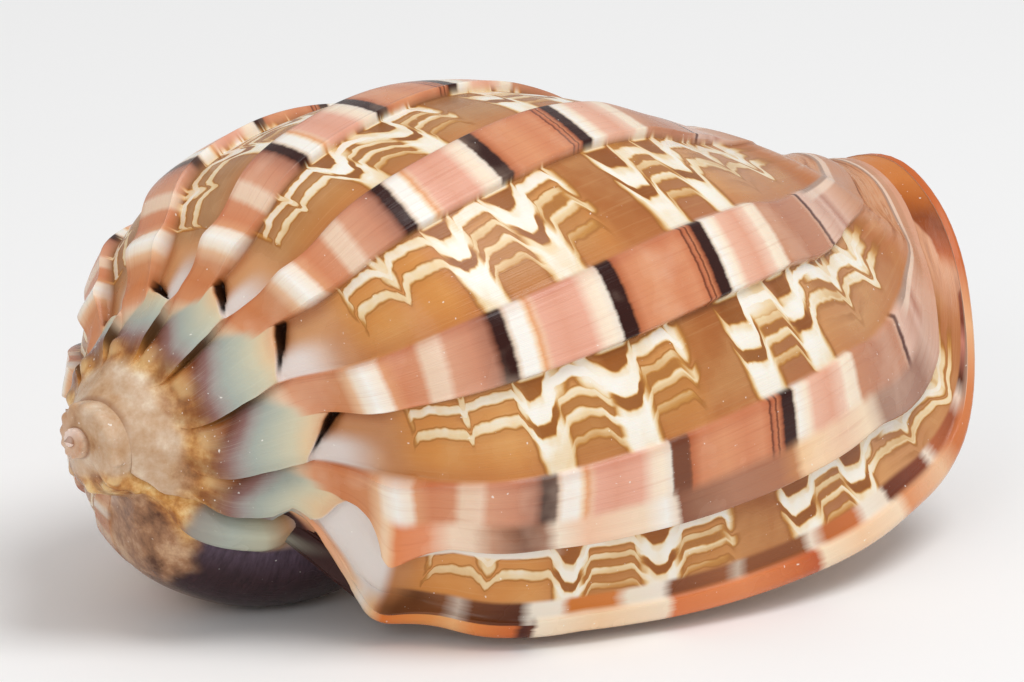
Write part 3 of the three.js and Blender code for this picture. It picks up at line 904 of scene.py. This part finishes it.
ground = mix(times(step(0.5, 0.8, streak), 0.2), ground, colour(230, 186, 130))
rim_of_line = times(step(0.06, 0.3, lines), step(0.75, 0.4, lines))
ground = mix(times(rim_of_line, 0.75), ground, colour(150, 84, 28))
bowl_brown = times(in_bowl, step(0.55, 0.15, lines))
ground = mix(times(bowl_brown, 0.75), ground, colour(136, 76, 26))
line_colour = ramp(lines, 0.0, 1.0, [
    (0.0, 150, 88, 30), (0.4, 200, 142, 72), (0.65, 236, 208, 162),
    (0.85, 246, 238, 222), (1.0, 248, 244, 236),
])
space_colour = mix(step(0.05, 0.5, lines), ground, line_colour)

# The last space before the lip: a thick white line under the rib, dark brown next to the rim
last_space = step(1.0, 0.99, rib)
top_line = times(step(0.20, 0.15, fall), step(-0.02, 0.03, fall),
                 step(0.275, 0.29, along), step(0.44, 0.41, along))
space_colour = mix(times(last_space, top_line), space_colour, colour(240, 232, 220))
by_rim = ramp(rim_place, 0.26, 0.60, [
    (0.260, 226, 214, 204), (0.283, 214, 190, 168), (0.292, 130, 84, 50),
    (0.310, 104, 64, 38), (0.345, 132, 82, 50), (0.358, 196, 176, 160),
    (0.370, 112, 62, 32), (0.405, 88, 42, 20), (0.415, 240, 230, 214),
    (0.434, 240, 230, 214), (0.441, 206, 120, 48), (0.470, 210, 124, 56),
    (0.480, 240, 228, 208), (0.504, 242, 232, 218), (0.512, 128, 72, 40),
    (0.550, 152, 92, 56), (0.560, 200, 180, 160), (0.568, 140, 82, 46),
    (0.600, 138, 80, 44),
])
by_rim_low = ramp(rim_place, 0.60, 0.88, [
    (0.600, 138, 80, 44), (0.611, 140, 82, 44), (0.620, 238, 222, 202),
    (0.634, 190, 104, 50), (0.662, 200, 112, 60), (0.674, 240, 228, 210),
    (0.695, 238, 222, 202), (0.701, 108, 50, 26), (0.750, 130, 60, 30),
    (0.760, 238, 220, 200), (0.772, 180, 100, 60), (0.800, 160, 88, 58),
    (0.812, 236, 210, 190), (0.822, 92, 42, 20), (0.840, 200, 128, 108),
    (0.850, 120, 50, 24), (0.880, 150, 72, 34),
])
by_rim = mix(step(0.5995, 0.6005, rim_place), by_rim, by_rim_low)
dark_rim = times(step(0.0, 0.06, rib), step(0.285, 0.30, along), step(0.42, 0.41, along))
rib_colour = mix(times(dark_rim, step(0.5, 0.4, rib)), rib_colour, by_rim)
next_to_rim = times(last_space, step(0.74, 0.82, fall), step(0.27, 0.30, along))
space_colour = mix(next_to_rim, space_colour, by_rim)

# Upper flank beside the slits: golden brown haze near the older rib, lilac white near the younger one
flank_white = times(step(0.3, 0.7, fall), step(0.30, 0.235, along))
flank = mix(step(0.3, 0.7, cloud), colour(190, 130, 84), colour(208, 152, 104))
flank = mix(times(step(0.3, 0.0, fall), 0.6), flank, colour(160, 88, 44))
flank = mix(times(flank_white, 0.9), flank, colour(228, 218, 212))
flank = mix(times(last_space, step(0.30, 0.285, along)), flank, colour(228, 220, 214))
space_colour = mix(step(0.325, 0.29, space_place), space_colour, flank)
body_colour = mix(on_rib, space_colour, rib_colour)

# Siphon end: growth lines of pinkish brown and cream, amber where the last space ends
end_streak = grain(vector(times(rib, 7), times(along, 16), 1.5), 1.0, 4.0, 0.6)
pale_end = ramp(end_streak, 0.3, 0.72, [
    (0.3, 92, 52, 38), (0.335, 176, 118, 92), (0.42, 208, 154, 128),
    (0.5, 226, 182, 160), (0.57, 206, 156, 132), (0.62, 238, 214, 194), (0.72, *WHITE),
])
brown_end = ramp(end_streak, 0.3, 0.72, [
    (0.3, 112, 62, 34), (0.4, 170, 106, 64), (0.48, 206, 142, 98),
    (0.56, 214, 160, 122), (0.63, 190, 124, 80), (0.72, 240, 208, 176),
])
end_colour = mix(step(0.845, 0.875, along), pale_end, brown_end)
end_colour = mix(times(step(1.35, 0.9, rib), 0.45), end_colour, colour(220, 166, 134))
amber_place = plus(rib, around(ripple, 0.15))
amber_end = scale_to(0.88, 0.93, 0.5, 1.1, along)
amber = times(step(0.872, 0.884, along), step(plus(amber_end, 0.08), amber_end, amber_place))
amber_colour = ramp(plus(along, around(cloud, 0.02)), 0.87, 0.97, [
    (0.87, 200, 110, 40), (0.885, 176, 84, 22), (0.897, 138, 64, 14),
    (0.915, 182, 98, 34), (0.935, 206, 124, 60), (0.97, 214, 140, 84),
])
end_colour = mix(amber, end_colour, amber_colour)
at_end = step(0.845, 0.875, plus(along, around(ripple, 0.01)))
at_end = times(at_end, step(0.30, 0.42, plus(rib, step(0.86, 0.885, along))))
body_colour = mix(at_end, body_colour, end_colour)

# Lobes: grey-green porcelain; purple and orange brown stains run in from the callus, and reach
# further just below the lap of the next older lobe, which paints the shade under that lap
below_lap = calc("FRACT", minus(0.2, rib))
stain_and_lap_shade_place = plus(along, times(step(0.0, 0.75, below_lap), 0.04))
stain_and_lap_shade_place = plus(stain_and_lap_shade_place, around(cloud, 0.016))
stain_and_lap_shade_place = plus(stain_and_lap_shade_place, around(streak, 0.005))
lobe = ramp(stain_and_lap_shade_place, 0.06, 0.27, [
    (0.060, 186, 134, 70), (0.090, 196, 134, 66), (0.112, 164, 96, 44),
    (0.132, 118, 66, 46), (0.150, 136, 98, 92), (0.164, 158, 148, 142),
    (0.180, 164, 170, 160), (0.200, 182, 184, 166), (0.225, 204, 196, 168),
    (0.245, 222, 194, 154), (0.270, 220, 160, 118),
])
lobe = mix(times(step(0.5, 0.75, fine_streak), 0.15), lobe, colour(232, 226, 206))
# Painted shade under each lap, and a painted shadow line in the crevice along its edge
lap_shade = times(step(0.11, 0.0, below_lap), step(0.08, 0.11, along))
lobe = mix(times(lap_shade, 0.6), lobe, colour(124, 96, 54))
lap_shadow_line = times(step(0.022, 0.005, below_lap), step(0.09, 0.12, along))
lobe = mix(times(lap_shadow_line, 0.7), lobe, colour(62, 40, 20))

# Callus: beige and golden glaze on spire and inner ramp, dark purple brown beside the aperture
mottle = grain(place, 380, 5.0, 0.66)
glaze_colour = ramp(mottle, 0.25, 0.75, [
    (0.25, 164, 116, 76), (0.4, 196, 156, 118), (0.5, 206, 172, 140),
    (0.6, 216, 188, 160), (0.75, 238, 220, 196),
])
golden = ramp(mottle, 0.3, 0.7, [
    (0.3, 104, 56, 20), (0.43, 172, 106, 42), (0.53, 208, 150, 80),
    (0.62, 232, 190, 126), (0.7, 246, 220, 170),
])
last_whorl = step(1.02, 0.98, turn)
golden_band = times(last_whorl, step(0.055, 0.085, plus(along, around(cloud, 0.04))))
glaze_colour = mix(times(golden_band, 0.9), glaze_colour, golden)
# Painted highlight on the knobs' tops and painted shade in the hollows between them
from_knob = calc("ABSOLUTE", minus(calc("FRACT", plus(rib, 0.6)), 0.5))
knob_top_highlight = times(step(0.26, 0.1, from_knob), step(0.078, 0.092, along),
             step(0.122, 0.108, along), last_whorl)
knob_valley_shade = times(step(0.28, 0.45, from_knob), golden_band, 0.5)
glaze_colour = mix(knob_valley_shade, glaze_colour, colour(122, 66, 22))
glaze_colour = mix(times(knob_top_highlight, 0.7), glaze_colour, colour(242, 208, 150))
rings = ramp(plus(along, around(cloud, 0.02)), 0.0, 0.16, [
    (0.0, 190, 130, 100), (0.03, 226, 184, 156), (0.08, 206, 150, 118),
    (0.11, 232, 204, 180), (0.16, 170, 112, 82),
])
glaze_colour = mix(times(step(1.25, 1.6, turn), 0.5), glaze_colour, rings)
glaze_colour = mix(step(2.05, 2.4, turn), glaze_colour, colour(240, 214, 200))
mouth_side = times(last_whorl, step(0.60, 0.70, turn))
tan = ramp(mottle, 0.3, 0.7, [(0.3, 92, 58, 40), (0.5, 168, 122, 88), (0.7, 222, 184, 146)])
side_colour = mix(step(0.90, 0.945, plus(turn, around(cloud, 0.03))), tan, golden)
dark_grain = grain(vector(times(turn, 60), times(along, 160), 0.5), 1.0, 3.0, 0.6)
dark = mix(dark_grain, colour(26, 8, 12), colour(112, 92, 112))
dark = mix(step(0.935, 0.89, turn), dark, mix(dark_grain, colour(20, 4, 6), colour(70, 44, 50)))
dark_edge = plus(along, around(cloud, 0.05))
side_colour = mix(times(step(0.39, 0.42, dark_edge), step(0.80, 0.86, turn)), side_colour, dark)
apron_place = plus(along, around(cloud, 0.03))
on_apron = times(step(0.925, 0.94, plus(turn, around(cloud, 0.012))),
                 step(0.35, 0.39, apron_place), step(0.60, 0.55, along))
apron = ramp(apron_place, 0.34, 0.60, [
    (0.34, 150, 92, 52), (0.38, 150, 140, 130), (0.43, 170, 176, 164),
    (0.48, 184, 182, 158), (0.52, 176, 140, 104), (0.56, 166, 150, 156),
    (0.60, 110, 60, 50),
])
side_colour = mix(on_apron, side_colour, apron)
glaze_colour = mix(times(mouth_side, step(0.15, 0.19, along)), glaze_colour, side_colour)
suture_line = times(step(0.012, 0.002, along), step(0.05, 0.3, turn))
glaze_colour = mix(times(suture_line, 0.55), glaze_colour, colour(140, 88, 56))

shell_colour = mix(step(0.0, -0.006, past_lobe), body_colour, lobe)
neck = times(on_rib, step(-0.05, -0.02, past_lobe))
shell_colour = mix(neck, shell_colour, rib_colour)
shell_colour = mix(glazed, shell_colour, glaze_colour)
# Painted shadow in each slit under a lobe's outer edge, with a painted brown shade fringe beyond it
slit_width = scale_to(0.45, 0.72, 0.002, 0.010, phase)
slit_shade = times(step(-0.003, 0.0, past_lobe), step(plus(slit_width, 0.004), slit_width, past_lobe))
full_ribs = times(step(0.5, 0.2, glazed), step(0.99, 1.01, rib))
slit_shade = times(slit_shade, step(0.24, 0.42, phase), step(0.802, 0.785, phase), full_ribs)
slit_fringe_shade = times(step(0.03, 0.006, past_lobe), step(0.4, 0.65, phase), step(0.81, 0.79, phase))
slit_fringe_shade = times(slit_fringe_shade, step(-0.003, 0.0, past_lobe), full_ribs)
shell_colour = mix(times(slit_fringe_shade, 0.7), shell_colour, colour(160, 88, 40))
shell_colour = mix(times(slit_shade, 0.96), shell_colour, colour(26, 10, 5))

# Inside of the mouth: warm porcelain; painted dark brown shade at the narrow end under the shoulder
porcelain = ramp(plus(along, around(cloud, 0.01)), 0.0, 0.5, [
    (0.0, 196, 142, 84), (0.08, 186, 124, 66), (0.11, 150, 108, 84),
    (0.145, 160, 168, 156), (0.17, 176, 174, 152), (0.2, 214, 160, 118),
    (0.225, 120, 66, 50), (0.25, 50, 14, 10), (0.33, 46, 12, 10),
    (0.42, 222, 164, 120), (0.5, 236, 196, 160),
])
wall_side = times(step(0.45, 0.75, turn), step(0.42, 0.38, along))
wall_place = plus(along, around(cloud, 0.04))
wall_colour = mix(step(0.22, 0.32, wall_place), colour(178, 124, 74), colour(166, 166, 148))
# Painted shade: away from the lip, the faces that close the mouth are darkened to stand in for the deep
# cavity
cavity_shade = times(step(1.0, 2.0, rib), step(11.9, 10.5, rib))
porcelain = mix(cavity_shade, porcelain, colour(52, 22, 18))
porcelain = mix(wall_side, porcelain, wall_colour)
shell_colour = mix(inside, shell_colour, porcelain)

# Painted glints: small near-white sparkle highlights over the shell, thickest on the lumpy band by the
# knobs
sparkle_grain = grain(place, 2600, 1.0, 0.5)
rough_zone = times(step(0.08, 0.095, along), step(0.14, 0.12, along), 0.05)
sparkle_highlights = times(step(0.76, 0.82, plus(sparkle_grain, rough_zone)), 0.6)
shell_colour = mix(sparkle_highlights, shell_colour, colour(255, 250, 240))
tree.links.new(shell_colour, gloss.inputs["Base Color"])
rough = scale_to(0.3, 0.7, 0.2, 0.32, cloud)
tree.links.new(rough, gloss.inputs["Roughness"])
for name, setting in (
    ("Specular IOR Level", 0.22), ("Coat Weight", 0.07), ("Coat Roughness", 0.1),
    ("Subsurface Weight", 0.06), ("Subsurface Radius", (1.0, 0.5, 0.3)), ("Subsurface Scale", 0.001),
):
    gloss.inputs[name].default_value = setting
bump = tree.nodes.new("ShaderNodeBump")
bump.inputs["Strength"].default_value = 0.2
bump.inputs["Distance"].default_value = 0.0002
tree.links.new(plus(fine_streak, times(streak, 0.8)), bump.inputs["Height"])
tree.links.new(bump.outputs["Normal"], gloss.inputs["Normal"])
finished.materials.clear()
finished.materials.append(finish)

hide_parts("harp_shell")
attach(shell, "root")
